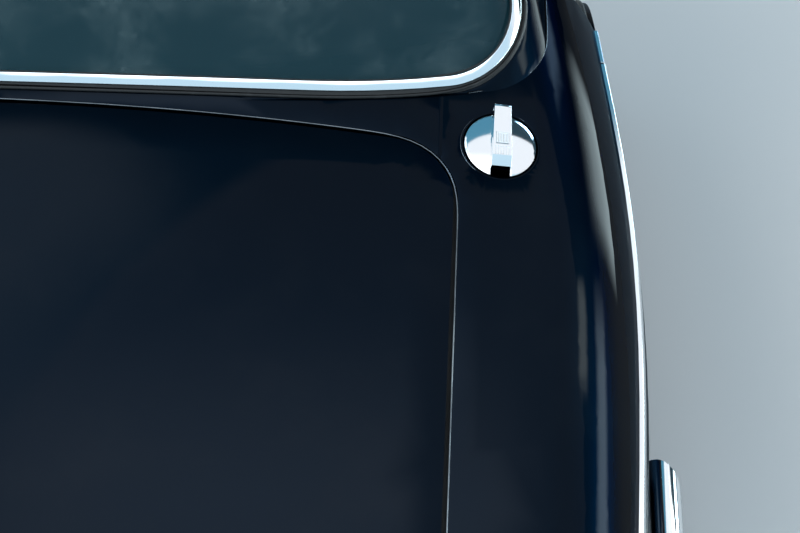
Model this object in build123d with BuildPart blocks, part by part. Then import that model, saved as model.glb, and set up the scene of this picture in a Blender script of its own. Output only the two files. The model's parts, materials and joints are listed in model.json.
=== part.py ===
from math import asin, atan2, cos, degrees, hypot, pi, radians, sin, sqrt, tan
import os

from build123d import *

os.makedirs("parts", exist_ok=True)

# Rear body section of a luxury saloon. The origin lies under the chassis rails,
# on the centreline at the rear axle. X points to the right, Y forward, Z up.

# Overall lengths
front_y = 440            # where the section is cut from the car
tail_y = -1095           # rearmost point of the tail panel
sill_z = -60             # lower edge of the sills
deck_band = (300, 800)   # heights between which the deck panels lie
wall = 18                # wing with its inner panel
roof_wall = 28           # roof and pillars with their trim
far = 1500               # reach of the cutting shapes

# Body sections, from the front cut to behind the tail:
# place along the car, deck height on the centreline, half width at the moulding
body_sections = [
    {"y": front_y, "deck": 700, "mould": 800},
    {"y": 180, "deck": 699, "mould": 807},
    {"y": -60, "deck": 696, "mould": 829},
    {"y": -291.5, "deck": 688.3, "mould": 846},
    {"y": -560, "deck": 671, "mould": 840},
    {"y": -850, "deck": 644, "mould": 815},
    {"y": -1170, "deck": 605, "mould": 776},
]
deck_radius = 7059       # crown of the deck across the car
shoulder_radius = 110
side_radius = 549
lower_radius = 1450
mould_z = 504            # height of the side moulding
mould_lean = 22          # angle of the side at the moulding, from upright
seam_x = 590             # joints between the wings and the panels between them

# Tail
tail_radius = 6500       # bow of the tail in plan
tail_corner = 110
tail_half = 845
tail_flare = 6.5         # degrees that the sides widen ahead of the corners
tail_lean = 7            # degrees that the tail leans forward
tail_edge = 42           # rounding between deck and tail
roll_start = 9           # slope where the deck starts to roll over
tail_stations = (-900, -600, -300, 0, 300, 600, 900)
tail_front_y = -900      # the tail panel lies behind this
tail_panel_top = 60      # how far the tail panel laps up behind the lid's foot
corner_behind = 1
skirt = 70               # how far forms reach below the sills
outline_y = 900          # how far plan outlines reach forward
valance_y = -330         # where the underside starts to rise to the tail
valance_rise = 8         # degrees

# Cabin
window_slope = 36        # rear window, from level
window_y = -246          # foot of the window on the centreline
window_z = 704
window_bow = 2391        # radius of the window in plan
cabin_base_z = 560
cabin_top_z = 1110
cabin_half_base = 762    # half width at the base height
cabin_half_top = 540
cabin_corner = 112
roof_z = 1052            # roof above the window's top edge
roof_fall = 26           # drop of the roof from the front cut to the window
roof_bend_y = 130
roof_end_y = -400
roof_radius = 3000
roof_edge = 60
roof_foot_z = 900        # the rounded roof edges lie above this

# Rear window, its outline measured up the slope from the foot
trim_width = 12
trim_proud = 5
seal_width = 9
seal_proud = 2.5
seal_depth = 12
glass_inset = 2
glass_thick = 5
window_reach = 200       # how far the window's prism reaches both ways
cowl_depth = 20          # tonneau metal that rises to the window's foot
window_foot = -3.5
window_bend = 430        # where the lower edge starts to rise
foot_radius = 1300
foot_rise = 7.5
lower_corner = 100
side_lean = 14.7
window_side = 321        # straight length of each side
upper_corner = 90

# Boot lid
lid_front_y = -268
lid_corner_y = -297      # front edge at the lid's sides
lid_half = 611
lid_half_tail = 594
lid_corner = 86
lid_foot_z = 292         # lower edge on the tail
lid_foot_corner = 45
lid_side_z = (430, 520)  # where the lid's sides widen from tail to deck
lid_side_out = (2, 40)
lid_gap = 5
lid_skin = 12
lid_frame_depth = 14
lid_frame_in = 42
lid_frame_width = 70
hinge_y = -158
hinge_z = 668
hinge_x = 430
arm_radius = 176         # path of the gooseneck around its pivot
arm_start = 172          # angle of its upper end around the pivot
arm_sweep = 110
arm_width = 16
ring_radius = 12         # eye of the arm around its pin
pin_radius = 6
pin_play = 0.4
pin_in = 12
bracket_in = 10
bracket_thick = 8
bracket_reach = 18

# Boot gutter and seal under the lid's edge
gutter_thick = 6
gutter_out = 12
gutter_in = 26
seal_in = 22
seal_out = 10
boot_seal_gap = 0.6

# Wheel arches
axle_z = 40
arch_radius = 345
arch_x = 600
arch_skin = 8
arch_gap = 5

# Door opening
door_margin = 55         # wing metal around the arch
door_sill_z = 60
door_arc = 72            # degrees of the cut around the arch
door_waist = (15, 600)
door_moulding = (42, 504)
door_window = (10, 655)
door_head = (300, 985)
door_corner = 24

# Filler caps
cap_row = body_sections[3]
cap_x = 662.8
cap_y = cap_row["y"]
cap_out = 6.5            # tilt outwards
cap_back = 5.1           # tilt to the rear
bowl_radius = 48.3
bowl_wall = 2
bowl_depth = 22
neck_radius = 31
neck_wall = 3
neck_depth = 120
disc_radius = 43.6
disc_thick = 4
disc_dome = 4.5
disc_lip = 0.5           # the disc's rim lies this far below the wing
plug_radius = 24
plug_depth = 8
bar_width = 24           # across its rear end
bar_front_width = 20.5
bar_rear = -33
bar_rear_z = 7
bar_knee_y = -21
bar_knee_z = 13
bar_low = 2
bar_end_radius = 7.5
notch_length = 24        # finger notch in the disc behind the bar
cap_pivot_y = 45
cap_pivot_z = 9
lug_width = 6
lug_radius = 3
lug_play = 1.2
cap_pin = 1.8
button_size = 15
button_y = 2
button_top = 15.4
button_depth = 4
button_play = 0.5
button_grooves = 4
pad_y = (-20, -9)        # grooved finger pad at the bar's rear end
pad_grooves = 6
groove_pitch = 3.2
groove_width = 1.2
groove_depth = 0.6

# Side mouldings
mould_height = 15
mould_proud = 5
mould_rear_y = -1000
mould_joint_y = -27
mould_joint = 3

# Lamps
lamp_x = 712
lamp_z = 430
lamp_width = 118
lamp_height = 205
lamp_corner = 20
lamp_bezel = 9
lamp_depth = 10

# Bumper
bumper_z = 165
bumper_height = 104
bumper_half = 930
bumper_flare = 2
bumper_tip_y = -537
bumper_end_x = 944
bumper_tail_y = -1172
bumper_corner = 190
bumper_depth = 44
bumper_tip_radius = 38
bumper_edge = 20
tip_reach_x = 40         # rounding of the bumper ends in plan
tip_reach_y = 62
bumper_split = 560
overrider_width = 46
overrider_z = 140
overrider_height = 160
overrider_proud = 26
overrider_corner = 14
overrider_edge = 12
bracket_x = 450
bracket_side_y = -700
bracket_width = 60
bracket_height = 44
bracket_length = 60

# Boot lid furniture
plate_half = 262
plate_z = 345
plate_height = 112
plinth_half = 232
plinth_z = 474
plinth_height = 32
plinth_proud = 6
plinth_edge = 6
latch_half = 25
latch_z = 306
latch_height = 40
latch_depth = 70
striker_reach = 52
striker_z = (-46, -38)   # its foot, below the latch
striker_post_x = 6
striker_post_y = (38, 46)
striker_post_top = -8

# Floor, rails, bulkhead and shelf
floor_z = 70
floor_thick = 6
well_y = -720
well_radius = 295
well_depth = 120
rail_x = 450
rail_width = 70
rail_wall = 4
rail_rear_y = -1020
mount_y = 225
mount_hole = 6.5
bulkhead_foot_y = 200
bulkhead_head_y = 60
bulkhead_thick = 8
shelf_z = 684
shelf_thick = 6
floor_front_y = -630     # the wide part of the floor ends here
floor_tail_half = 640
bulkhead_half = 660
shelf_lap = 20
side_trim_x = 600
side_trim_thick = 5
side_trim_top = 600
side_trim_front = 60


def body_section(row, y, inset):
    # One closed section: deck, shoulders, sides and the open underside.
    top = row["deck"]
    side_x = row["mould"] - side_radius * cos(radians(mould_lean))
    side_z = mould_z - side_radius * sin(radians(mould_lean))
    deck_c = top - deck_radius
    reach_deck = deck_radius - shoulder_radius
    reach_side = side_radius - shoulder_radius
    gap = hypot(side_x, side_z - deck_c)
    along = (gap**2 + reach_deck**2 - reach_side**2) / (2 * gap)
    across = sqrt(reach_deck**2 - along**2)
    ux, uz = side_x / gap, (side_z - deck_c) / gap
    cx = ux * along + uz * across
    cz = deck_c + uz * along - ux * across
    deck_turn = degrees(atan2(cx, cz - deck_c))
    side_turn = degrees(atan2(cz - side_z, cx - side_x))
    low_r = lower_radius - inset
    low_turn = degrees(asin((side_z - sill_z + inset) / low_r))
    low_x = side_x + side_radius - lower_radius
    with BuildSketch(Plane.XZ.offset(-y)) as section:
        with BuildLine():
            CenterArc((0, deck_c), deck_radius - inset, 90 - deck_turn, deck_turn)
            CenterArc((cx, cz), shoulder_radius - inset, side_turn,
                      90 - deck_turn - side_turn)
            CenterArc((side_x, side_z), side_radius - inset, 0, side_turn)
            foot = CenterArc((low_x, side_z), low_r, -low_turn, low_turn)
            Line(foot @ 0, (0, sill_z - inset))
            mirror(about=Plane.YZ)
        make_face()
    return section.sketch


def body_loft(inset):
    sections = []
    for k, row in enumerate(body_sections):
        y = row["y"] + (inset if k == 0 else 0)
        sections.append(body_section(row, y, inset))
    with BuildPart() as form:
        loft(sections)
    return form.part


def plan_outline(z, half, rear_y, bow, corner, flare):
    # A plan outline with a bowed rear edge, round corners and straight sides.
    centre_y = rear_y + bow
    corner_x = half - corner
    corner_y = centre_y - sqrt((bow - corner) ** 2 - corner_x**2)
    turn = degrees(atan2(corner_x, centre_y - corner_y))
    with BuildSketch(Plane.XY.offset(z)) as outline:
        with BuildLine():
            CenterArc((0, centre_y), bow, -90, turn)
            bend = CenterArc((corner_x, corner_y), corner, turn - 90, 90 - turn - flare)
            reach = (outline_y - (bend @ 1).Y) * tan(radians(flare))
            Line(bend @ 1, ((bend @ 1).X + reach, outline_y))
            Line(((bend @ 1).X + reach, outline_y), (0, outline_y))
            mirror(about=Plane.YZ)
        make_face()
    return outline.sketch


def corner_loft(inset):
    # Round corners in plan, just behind the tail surface.
    shift = inset / cos(radians(tail_lean)) - corner_behind
    sections = []
    for z in (sill_z - skirt, cabin_top_z):
        y = tail_y + (z - lid_foot_z) * tan(radians(tail_lean)) + shift
        sections.append(plan_outline(z, tail_half - inset, y, tail_radius - inset,
                                     tail_corner - inset, tail_flare))
    with BuildPart() as form:
        loft(sections)
    return form.part


def tail_section(x, inset):
    # Side profile at x: the deck rolls over into the leaning tail.
    crown = deck_radius - sqrt(deck_radius**2 - x**2)
    bow = tail_radius - sqrt(tail_radius**2 - x**2)
    last, end = body_sections[-2], body_sections[-1]
    slope = (last["deck"] - end["deck"]) / (last["y"] - end["y"])
    lean = tan(radians(tail_lean))
    start = radians(180 + roll_start)
    finish = radians(270 - tail_lean)
    # The arc's centre lies below the deck and ahead of the tail line.
    drop = tail_edge * cos(radians(roll_start))
    ahead = tail_edge * sin(radians(roll_start))
    behind = tail_edge / cos(radians(tail_lean))
    base = last["deck"] - slope * last["y"] - crown - drop
    centre_y = tail_y + bow + behind - lid_foot_z * lean
    centre_y = (centre_y + (base + slope * ahead * -1) * lean) / (1 - slope * lean)
    centre_z = base + slope * (centre_y - ahead)
    radius = tail_edge - inset
    top = (centre_y + radius * cos(start - pi / 2), centre_z + radius * sin(start - pi / 2))
    with BuildSketch(Plane.YZ.offset(x)) as section:
        with BuildLine():
            roll = JernArc(top, (cos(start), sin(start)), radius, degrees(finish - start))
            foot_z = sill_z - skirt
            foot = ((roll @ 1).X - ((roll @ 1).Y - foot_z) * lean, foot_z)
            rise = (outline_y - top[0]) * tan(radians(roll_start))
            Polyline(roll @ 1, foot, (outline_y, foot_z), (outline_y, top[1] + rise), top)
        make_face()
    return section.sketch


def lower_form(inset):
    # The body below the windows, set in by a thickness.
    with BuildPart() as tail:
        loft([tail_section(x, inset) for x in tail_stations])
    with BuildPart() as form:
        add(body_loft(inset))
        add(tail.part, mode=Mode.INTERSECT)
        add(corner_loft(inset), mode=Mode.INTERSECT)
    return form.part


def cabin_loft(inset):
    rise = 1 / tan(radians(window_slope))
    sections = []
    for z, half in ((cabin_base_z, cabin_half_base), (cabin_top_z, cabin_half_top)):
        y = window_y + (z - window_z) * rise + inset / sin(radians(window_slope))
        sections.append(plan_outline(z, half - inset, y, window_bow, cabin_corner, 0))
    with BuildPart() as form:
        loft(sections)
    return form.part


def cabin_form(inset):
    # The cabin with its crowned roof, set in by a thickness.
    sections = []
    for y, fall in ((front_y + inset, 0), (roof_bend_y, roof_fall), (roof_end_y, 3 * roof_fall)):
        top = roof_z + roof_fall - fall - inset
        with BuildSketch(Plane.XZ.offset(-y)) as section:
            with BuildLine():
                edge = CenterArc((0, top - roof_radius), roof_radius, 70, 40)
                Polyline(edge @ 0, ((edge @ 0).X, 0), ((edge @ 1).X, 0), edge @ 1)
            make_face()
        sections.append(section.sketch)
    with BuildPart() as form:
        loft(sections)
        add(cabin_loft(inset), mode=Mode.INTERSECT)
        brow = form.edges().filter_by(
            lambda e: e.center().Z > roof_foot_z and e.center().Y < front_y + inset - 1
            and abs(e.tangent_at(0.5).Z) < 0.5)
        fillet(brow, roof_edge - inset)
    return form.part


def right_of(x):
    with BuildPart() as half:
        with Locations((x, 0, 0)):
            Box(far, 2 * far, 2 * far, align=(Align.MIN, Align.CENTER, Align.CENTER))
    return half.part


def block(x, y, z):
    # A box between pairs of limits.
    with BuildPart() as box:
        with Locations((x[0], y[0], z[0])):
            Box(x[1] - x[0], y[1] - y[0], z[1] - z[0],
                align=(Align.MIN, Align.MIN, Align.MIN))
    return box.part


def lid_region(margin):
    # All that lies over the boot opening, widened by a margin.
    with BuildPart() as region:
        with BuildSketch(Plane.XY.offset(sill_z)) as plan:
            with BuildLine():
                ThreePointArc((-lid_half, lid_corner_y), (0, lid_front_y),
                              (lid_half, lid_corner_y))
                Polyline((lid_half, lid_corner_y), (lid_half_tail, tail_y - 200),
                         (-lid_half_tail, tail_y - 200), (-lid_half, lid_corner_y))
            make_face()
            fillet(plan.vertices().filter_by(lambda v: v.Y > tail_y), lid_corner)
            offset(amount=margin)
        extrude(amount=far)
        with BuildSketch(Plane.XZ.offset(far)) as rear:
            with BuildLine():
                low_x = lid_half_tail + lid_side_out[0]
                high_x = lid_half + lid_side_out[1]
                Polyline((0, lid_foot_z), (lid_half_tail, lid_foot_z), (low_x, lid_side_z[0]),
                         (high_x, lid_side_z[1]), (high_x, far), (0, far))
                mirror(about=Plane.YZ)
            make_face()
            fillet(rear.vertices().filter_by(lambda v: v.Y == lid_foot_z), lid_foot_corner)
            offset(amount=margin)
        extrude(amount=-2 * far, mode=Mode.INTERSECT)
    return region.part


window_plane = Plane(
    origin=(0, window_y, window_z), x_dir=(1, 0, 0),
    z_dir=(0, -sin(radians(window_slope)), cos(radians(window_slope))))


def window_region(margin):
    # A prism through the rear window's outline, widened by a margin.
    with BuildPart() as region:
        with BuildSketch(window_plane) as outline:
            with BuildLine():
                base = Line((0, window_foot), (window_bend, window_foot))
                rise = JernArc(base @ 1, base % 1, foot_radius, foot_rise)
                low = JernArc(rise @ 1, rise % 1, lower_corner, 90 + side_lean - foot_rise)
                side = PolarLine(low @ 1, window_side, 90 + side_lean)
                high = JernArc(side @ 1, side % 1, upper_corner, 90 - side_lean)
                Line(high @ 1, (0, (high @ 1).Y))
                mirror(about=Plane.YZ)
            make_face()
            offset(amount=margin)
        extrude(amount=window_reach, both=True)
    return region.part


def lamp_region(margin):
    with BuildPart() as region:
        with BuildSketch(Plane.XZ.offset(-tail_y - 140)):
            with Locations((lamp_x, lamp_z)):
                RectangleRounded(lamp_width + 2 * margin, lamp_height + 2 * margin,
                                 lamp_corner + margin)
        extrude(amount=300)
    return region.part


def layer(outer, inner):
    with BuildPart() as skin:
        add(outer)
        add(inner, mode=Mode.SUBTRACT)
    return skin.part


# Forms at the depths where panels start and end
body_out = lower_form(0)
body_in = lower_form(wall)
body_proud = lower_form(-mould_proud)
body_lid = lower_form(lid_skin)
body_frame = lower_form(lid_skin + lid_frame_depth)
body_gutter = lower_form(wall + gutter_thick)
cabin_out = cabin_form(0)
cabin_in = cabin_form(roof_wall)
body_skin = layer(body_out, body_in)
window_hole = window_region(seal_width)
cowl_zone = block((-seam_x, seam_x), (-far, window_y + cowl_depth), (0, far))

with BuildPart() as door_cut:
    with BuildSketch(Plane.YZ.offset(-far)) as opening:
        reach = arch_radius + door_margin
        start = degrees(asin((door_sill_z - axle_z) / reach))
        with BuildLine():
            bend = CenterArc((0, axle_z), reach, start, door_arc)
            Polyline(bend @ 1, door_moulding, door_waist, door_window, door_head,
                     (front_y + 100, door_head[1]), (front_y + 100, door_sill_z), bend @ 0)
        make_face()
        fillet(opening.vertices().filter_by(
            lambda v: v.Y > mould_z - 1 and v.X < front_y), door_corner)
    extrude(amount=2 * far)

with BuildPart() as arch_cut:
    with BuildSketch(Plane.YZ.offset(arch_x)):
        with Locations((0, axle_z)):
            Circle(arch_radius)
    extrude(amount=far)
    mirror(about=Plane.YZ)

with BuildPart() as underside_cut:
    with BuildSketch(Plane.YZ.offset(-far)):
        drop = far * tan(radians(valance_rise))
        with BuildLine():
            Polyline((valance_y, sill_z), (valance_y - far, sill_z + drop),
                     (valance_y - far, -far), (valance_y, -far), (valance_y, sill_z))
        make_face()
    extrude(amount=2 * far)

# Frame of the right filler cap, square to the wing
cap_z = cap_row["deck"] - deck_radius + sqrt(deck_radius**2 - cap_x**2)
cap_plane = Plane(origin=(cap_x, cap_y, cap_z), x_dir=(1, 0, -sin(radians(cap_out))),
                  z_dir=(sin(radians(cap_out)), -sin(radians(cap_back)), 1))
cap_side = Plane(origin=cap_plane.origin, x_dir=cap_plane.y_dir, z_dir=cap_plane.x_dir)
cap_axis = Axis(cap_plane.origin, cap_plane.z_dir)

with BuildPart() as cap_hole:
    with BuildSketch(cap_plane.offset(-bowl_radius)):
        Circle(bowl_radius)
    extrude(amount=2 * bowl_radius)

# Panels of the body
with BuildPart() as wing_right:
    add(body_skin)
    add(right_of(seam_x), mode=Mode.INTERSECT)
    add(lid_region(lid_gap / 2), mode=Mode.SUBTRACT)
    add(cabin_in, mode=Mode.SUBTRACT)
    add(door_cut.part, mode=Mode.SUBTRACT)
    add(arch_cut.part, mode=Mode.SUBTRACT)
    add(underside_cut.part, mode=Mode.SUBTRACT)
    add(lamp_region(0), mode=Mode.SUBTRACT)
    add(cap_hole.part, mode=Mode.SUBTRACT)
wing_right.part.label = "wing_right"

with BuildPart() as wing_left:
    mirror(wing_right.part, about=Plane.YZ)
wing_left.part.label = "wing_left"

with BuildPart() as cowl:
    add(cabin_out)
    add(cowl_zone, mode=Mode.INTERSECT)
    add(cabin_in, mode=Mode.SUBTRACT)
    add(window_hole, mode=Mode.SUBTRACT)
    add(body_out, mode=Mode.SUBTRACT)

with BuildPart() as tonneau_panel:
    add(body_skin)
    add(block((-seam_x, seam_x), (lid_corner_y - gutter_in, 0), deck_band), mode=Mode.INTERSECT)
    add(lid_region(lid_gap / 2), mode=Mode.SUBTRACT)
    add(cabin_in, mode=Mode.SUBTRACT)
    add(cowl.part)
tonneau_panel.part.label = "tonneau_panel"

with BuildPart() as tail_panel:
    add(body_skin)
    add(block((-seam_x, seam_x), (-far, tail_front_y), (sill_z, lid_foot_z + tail_panel_top)),
        mode=Mode.INTERSECT)
    add(lid_region(lid_gap / 2), mode=Mode.SUBTRACT)
    add(underside_cut.part, mode=Mode.SUBTRACT)
tail_panel.part.label = "tail_panel"

with BuildPart() as roof_and_pillars:
    add(cabin_out)
    add(cabin_in, mode=Mode.SUBTRACT)
    add(body_out, mode=Mode.SUBTRACT)
    add(window_hole, mode=Mode.SUBTRACT)
    add(door_cut.part, mode=Mode.SUBTRACT)
    add(cowl_zone, mode=Mode.SUBTRACT)
roof_and_pillars.part.label = "roof_and_pillars"

# Rear window
with BuildPart() as rear_window_glass:
    add(cabin_form(glass_inset))
    add(cabin_form(glass_inset + glass_thick), mode=Mode.SUBTRACT)
    add(window_region(-trim_width / 2), mode=Mode.INTERSECT)
    add(body_out, mode=Mode.SUBTRACT)
rear_window_glass.part.label = "rear_window_glass"

with BuildPart() as window_trim:
    add(cabin_form(-trim_proud))
    add(cabin_form(glass_inset), mode=Mode.SUBTRACT)
    add(window_region(0), mode=Mode.INTERSECT)
    add(window_region(-trim_width), mode=Mode.SUBTRACT)
    add(body_out, mode=Mode.SUBTRACT)
window_trim.part.label = "window_trim"

with BuildPart() as window_seal:
    add(cabin_form(-seal_proud))
    add(cabin_form(seal_depth), mode=Mode.SUBTRACT)
    add(window_hole, mode=Mode.INTERSECT)
    add(window_region(-trim_width), mode=Mode.SUBTRACT)
    add(window_trim.part, mode=Mode.SUBTRACT)
    add(rear_window_glass.part, mode=Mode.SUBTRACT)
    add(body_out, mode=Mode.SUBTRACT)
window_seal.part.label = "window_seal"

# Boot lid with its frame, arms and latch
with BuildPart() as boot_lid:
    add(body_out)
    add(body_lid, mode=Mode.SUBTRACT)
    add(lid_region(-lid_gap / 2), mode=Mode.INTERSECT)
boot_lid.part.label = "boot_lid"

with BuildPart() as lid_frame:
    add(body_lid)
    add(body_frame, mode=Mode.SUBTRACT)
    add(lid_region(-lid_frame_in), mode=Mode.INTERSECT)
    inner = lid_region(-lid_frame_in - lid_frame_width)
    for x in ((-far, -lid_frame_width / 2), (lid_frame_width / 2, far)):
        with BuildPart(mode=Mode.PRIVATE) as bay:
            add(inner)
            add(block(x, (-far, 0), (0, far)), mode=Mode.INTERSECT)
        add(bay.part, mode=Mode.SUBTRACT)
lid_frame.part.label = "lid_frame"

hinge_plane = Plane(origin=(hinge_x - arm_width / 2, hinge_y, hinge_z),
                    x_dir=(0, 1, 0), z_dir=(1, 0, 0))
with BuildPart() as lid_side:
    add(block((-far, far), (-far, lid_front_y), deck_band))
    add(body_frame, mode=Mode.SUBTRACT)

with BuildPart() as hinge_arms:
    with BuildSketch(hinge_plane):
        with BuildLine():
            bend = CenterArc((0, 0), arm_radius, arm_start, arm_sweep)
            Line(bend @ 1, (0, 0))
        trace(line_width=arm_width)
        Circle(ring_radius)
        Circle(pin_radius + pin_play, mode=Mode.SUBTRACT)
    extrude(amount=arm_width)
    mirror(about=Plane.YZ)
    add(lid_side.part, mode=Mode.SUBTRACT)
hinge_arms.part.label = "hinge_arms"

with BuildPart() as lid_latch:
    add(block((-latch_half, latch_half), (tail_y, tail_y + latch_depth),
              (latch_z, latch_z + latch_height)))
    add(body_frame, mode=Mode.INTERSECT)
lid_latch.part.label = "lid_latch"

with BuildPart() as number_plate:
    add(body_proud)
    add(body_out, mode=Mode.SUBTRACT)
    add(block((-plate_half, plate_half), (-far, tail_front_y),
              (plate_z, plate_z + plate_height)), mode=Mode.INTERSECT)
number_plate.part.label = "number_plate"

with BuildPart() as lid_plinth:
    add(block((-plinth_half, plinth_half), (tail_y - plinth_proud, tail_front_y),
              (plinth_z, plinth_z + plinth_height)))
    fillet(lid_plinth.edges().filter_by(lambda e: e.center().Y < tail_y), plinth_edge)
    add(body_out, mode=Mode.SUBTRACT)
lid_plinth.part.label = "lid_plinth"

# What carries the lid: gutter, seal, brackets and striker
with BuildPart() as boot_gutter:
    add(body_in)
    add(body_gutter, mode=Mode.SUBTRACT)
    add(lid_region(gutter_out), mode=Mode.INTERSECT)
    add(lid_region(-gutter_in), mode=Mode.SUBTRACT)
    add(cabin_in, mode=Mode.SUBTRACT)
boot_gutter.part.label = "boot_gutter"

with BuildPart() as boot_seal:
    add(lower_form(lid_skin + boot_seal_gap))
    add(body_in, mode=Mode.SUBTRACT)
    add(lid_region(-seal_out), mode=Mode.INTERSECT)
    add(lid_region(-seal_in), mode=Mode.SUBTRACT)
boot_seal.part.label = "boot_seal"

with BuildPart() as hinge_brackets:
    add(block((hinge_x + bracket_in, hinge_x + bracket_in + bracket_thick),
              (hinge_y - bracket_reach, hinge_y + bracket_reach),
              (hinge_z - bracket_reach, shelf_z)))
    with BuildSketch(Plane.YZ.offset(hinge_x - pin_in)):
        with Locations((hinge_y, hinge_z)):
            Circle(pin_radius)
    extrude(amount=pin_in + bracket_in + bracket_thick / 2)
    mirror(about=Plane.YZ)
hinge_brackets.part.label = "hinge_brackets"

with BuildPart() as lid_striker:
    add(block((-latch_half, latch_half), (tail_y, tail_y + striker_reach),
              (latch_z + striker_z[0], latch_z + striker_z[1])))
    add(block((-striker_post_x, striker_post_x),
              (tail_y + striker_post_y[0], tail_y + striker_post_y[1]),
              (latch_z + striker_z[1], latch_z + striker_post_top)))
    add(body_in, mode=Mode.INTERSECT)
lid_striker.part.label = "lid_striker"

# Floor, wheelhouses, bulkhead, shelf and trims
with BuildPart() as wheelhouses:
    house = Plane(origin=(arch_x, 0, axle_z), x_dir=(0, 1, 0), z_dir=(1, 0, 0))
    with BuildSketch(house):
        Circle(arch_radius + arch_gap + arch_skin)
    extrude(amount=far)
    with BuildSketch(house.offset(arch_skin)):
        Circle(arch_radius + arch_gap)
    extrude(amount=far, mode=Mode.SUBTRACT)
    add(block((0, far), (-far, far), (-far, floor_z)), mode=Mode.SUBTRACT)
    add(body_in, mode=Mode.INTERSECT)
    mirror(about=Plane.YZ)
wheelhouses.part.label = "wheelhouses"

with BuildPart() as house_solid:
    with BuildSketch(Plane.YZ.offset(arch_x)):
        with Locations((0, axle_z)):
            Circle(arch_radius + arch_gap + arch_skin)
    extrude(amount=far)
    mirror(about=Plane.YZ)

with BuildPart() as boot_floor:
    add(block((-far, far), (-far, front_y), (floor_z, floor_z + floor_thick)))
    add(block((-far, far), (-far, floor_front_y), (floor_z, floor_z + floor_thick)),
        mode=Mode.SUBTRACT)
    add(block((-floor_tail_half, floor_tail_half), (-far, valance_y),
              (floor_z, floor_z + floor_thick)))
    with Locations((0, well_y, floor_z + floor_thick)):
        Cylinder(well_radius + floor_thick, well_depth + floor_thick,
                 align=(Align.CENTER, Align.CENTER, Align.MAX))
        Cylinder(well_radius, well_depth, mode=Mode.SUBTRACT,
                 align=(Align.CENTER, Align.CENTER, Align.MAX))
    add(body_in, mode=Mode.INTERSECT)
    add(house_solid.part, mode=Mode.SUBTRACT)
boot_floor.part.label = "boot_floor"

with BuildPart() as bulkhead:
    with BuildSketch(Plane.YZ.offset(-far)):
        with BuildLine():
            Polyline((bulkhead_foot_y, floor_z + floor_thick), (bulkhead_head_y, shelf_z),
                     (bulkhead_head_y + bulkhead_thick, shelf_z),
                     (bulkhead_foot_y + bulkhead_thick, floor_z + floor_thick),
                     (bulkhead_foot_y, floor_z + floor_thick))
        make_face()
    extrude(amount=2 * far)
    add(block((-bulkhead_half, bulkhead_half), (-far, far), (-far, far)), mode=Mode.INTERSECT)
    add(house_solid.part, mode=Mode.SUBTRACT)
bulkhead.part.label = "bulkhead"

with BuildPart() as parcel_shelf:
    add(block((-far, far), (-far, bulkhead_head_y + shelf_lap),
              (shelf_z, shelf_z + shelf_thick)))
    add(cabin_in, mode=Mode.INTERSECT)
parcel_shelf.part.label = "parcel_shelf"

with BuildPart() as boot_side_trims:
    add(block((side_trim_x, side_trim_x + side_trim_thick), (-far, side_trim_front),
              (floor_z + floor_thick, side_trim_top)))
    add(body_gutter, mode=Mode.INTERSECT)
    add(house_solid.part, mode=Mode.SUBTRACT)
    mirror(about=Plane.YZ)
boot_side_trims.part.label = "boot_side_trims"

with BuildPart() as chassis_rails:
    with BuildSketch(Plane.XZ.offset(-front_y)):
        with Locations((rail_x, 0)):
            Rectangle(rail_width, floor_z, align=(Align.CENTER, Align.MIN))
        with Locations((rail_x, rail_wall)):
            Rectangle(rail_width - 2 * rail_wall, floor_z, mode=Mode.SUBTRACT,
                      align=(Align.CENTER, Align.MIN))
    extrude(amount=front_y - rail_rear_y)
    with BuildSketch(Plane.XY):
        with Locations((rail_x, mount_y), (rail_x, -mount_y)):
            Circle(mount_hole)
    extrude(amount=rail_wall, mode=Mode.SUBTRACT)
    mirror(about=Plane.YZ)
chassis_rails.part.label = "chassis_rails"

# Filler caps
with BuildPart() as filler_bowl_right:
    with BuildSketch(cap_side) as profile:
        with BuildLine():
            Polyline((bowl_radius, -disc_lip), (bowl_radius, -bowl_depth - bowl_wall),
                     (neck_radius + neck_wall, -bowl_depth - bowl_wall),
                     (neck_radius + neck_wall, -neck_depth), (neck_radius, -neck_depth),
                     (neck_radius, -bowl_depth), (bowl_radius - bowl_wall, -bowl_depth),
                     (bowl_radius - bowl_wall, -disc_lip), (bowl_radius, -disc_lip))
        make_face()
    revolve(axis=cap_axis)
    with BuildSketch(cap_side.offset(-lug_width / 2)):
        with Locations((cap_pivot_y, cap_pivot_z)):
            Circle(lug_radius)
        with Locations((cap_pivot_y, -bowl_depth)):
            Rectangle(2 * lug_radius, bowl_depth + cap_pivot_z,
                      align=(Align.CENTER, Align.MIN))
    extrude(amount=lug_width)
    with BuildSketch(cap_side.offset(-bar_front_width / 2 + bowl_wall)):
        with Locations((cap_pivot_y, cap_pivot_z)):
            Circle(cap_pin)
    extrude(amount=bar_front_width - 2 * bowl_wall)
filler_bowl_right.part.label = "filler_bowl_right"

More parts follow.
